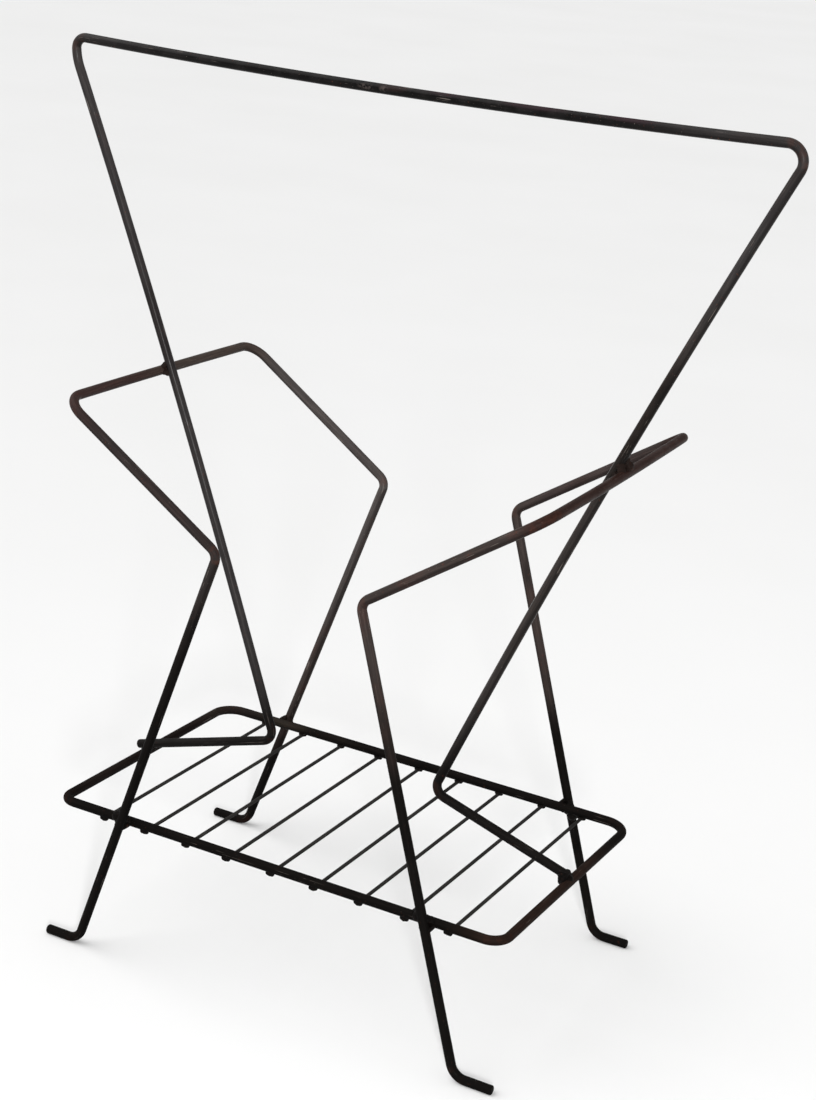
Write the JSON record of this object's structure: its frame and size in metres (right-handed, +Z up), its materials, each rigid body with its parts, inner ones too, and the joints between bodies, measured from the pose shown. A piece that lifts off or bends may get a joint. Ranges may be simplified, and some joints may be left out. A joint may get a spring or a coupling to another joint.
{
  "type": "newspaper rack",
  "caption": "Welded round-rod newspaper rack: a low wire tray between two bent end bows that are the legs and pocket sides, with a tall trapezoid handle dividing it into two pockets.",
  "frame": {"origin": "on the floor, under the middle of the rack's bounding box", "axes": "+X to the right along the rack, +Z up, the front at -Y"},
  "size_m": [0.5097, 0.2343, 0.5899],
  "materials": {
    "handle_paint": "worn satin black-brown lacquer",
    "bow_paint": "worn satin black-brown lacquer with rust showing",
    "tray_paint": "worn satin black-brown lacquer",
    "wire_paint": "worn satin black lacquer",
    "weld_paint": "lumpy weld metal under satin black lacquer"
  },
  "bodies": {
    "root": {"tray_frame": "tray_paint", "cross_wire_1": "wire_paint", "cross_wire_2": "wire_paint", "cross_wire_3": "wire_paint", "cross_wire_4": "wire_paint", "cross_wire_5": "wire_paint", "cross_wire_6": "wire_paint", "cross_wire_7": "wire_paint", "cross_wire_8": "wire_paint", "cross_wire_9": "wire_paint", "left_bow": "bow_paint", "right_bow": "bow_paint", "handle": "handle_paint", "leg_weld_left_front": "weld_paint", "leg_weld_left_back": "weld_paint", "leg_weld_right_front": "weld_paint", "leg_weld_right_back": "weld_paint", "handle_foot_weld_left": "weld_paint", "handle_foot_weld_right": "weld_paint", "handle_side_weld_left": "weld_paint", "handle_side_weld_right": "weld_paint", "wire_weld_front_1": "weld_paint", "wire_weld_front_2": "weld_paint", "wire_weld_front_3": "weld_paint", "wire_weld_front_4": "weld_paint", "wire_weld_front_5": "weld_paint", "wire_weld_front_6": "weld_paint", "wire_weld_front_7": "weld_paint", "wire_weld_front_8": "weld_paint", "wire_weld_front_9": "weld_paint", "wire_weld_back_1": "weld_paint", "wire_weld_back_2": "weld_paint", "wire_weld_back_3": "weld_paint", "wire_weld_back_4": "weld_paint", "wire_weld_back_5": "weld_paint", "wire_weld_back_6": "weld_paint", "wire_weld_back_7": "weld_paint", "wire_weld_back_8": "weld_paint", "wire_weld_back_9": "weld_paint"}
  },
  "joints": []
}
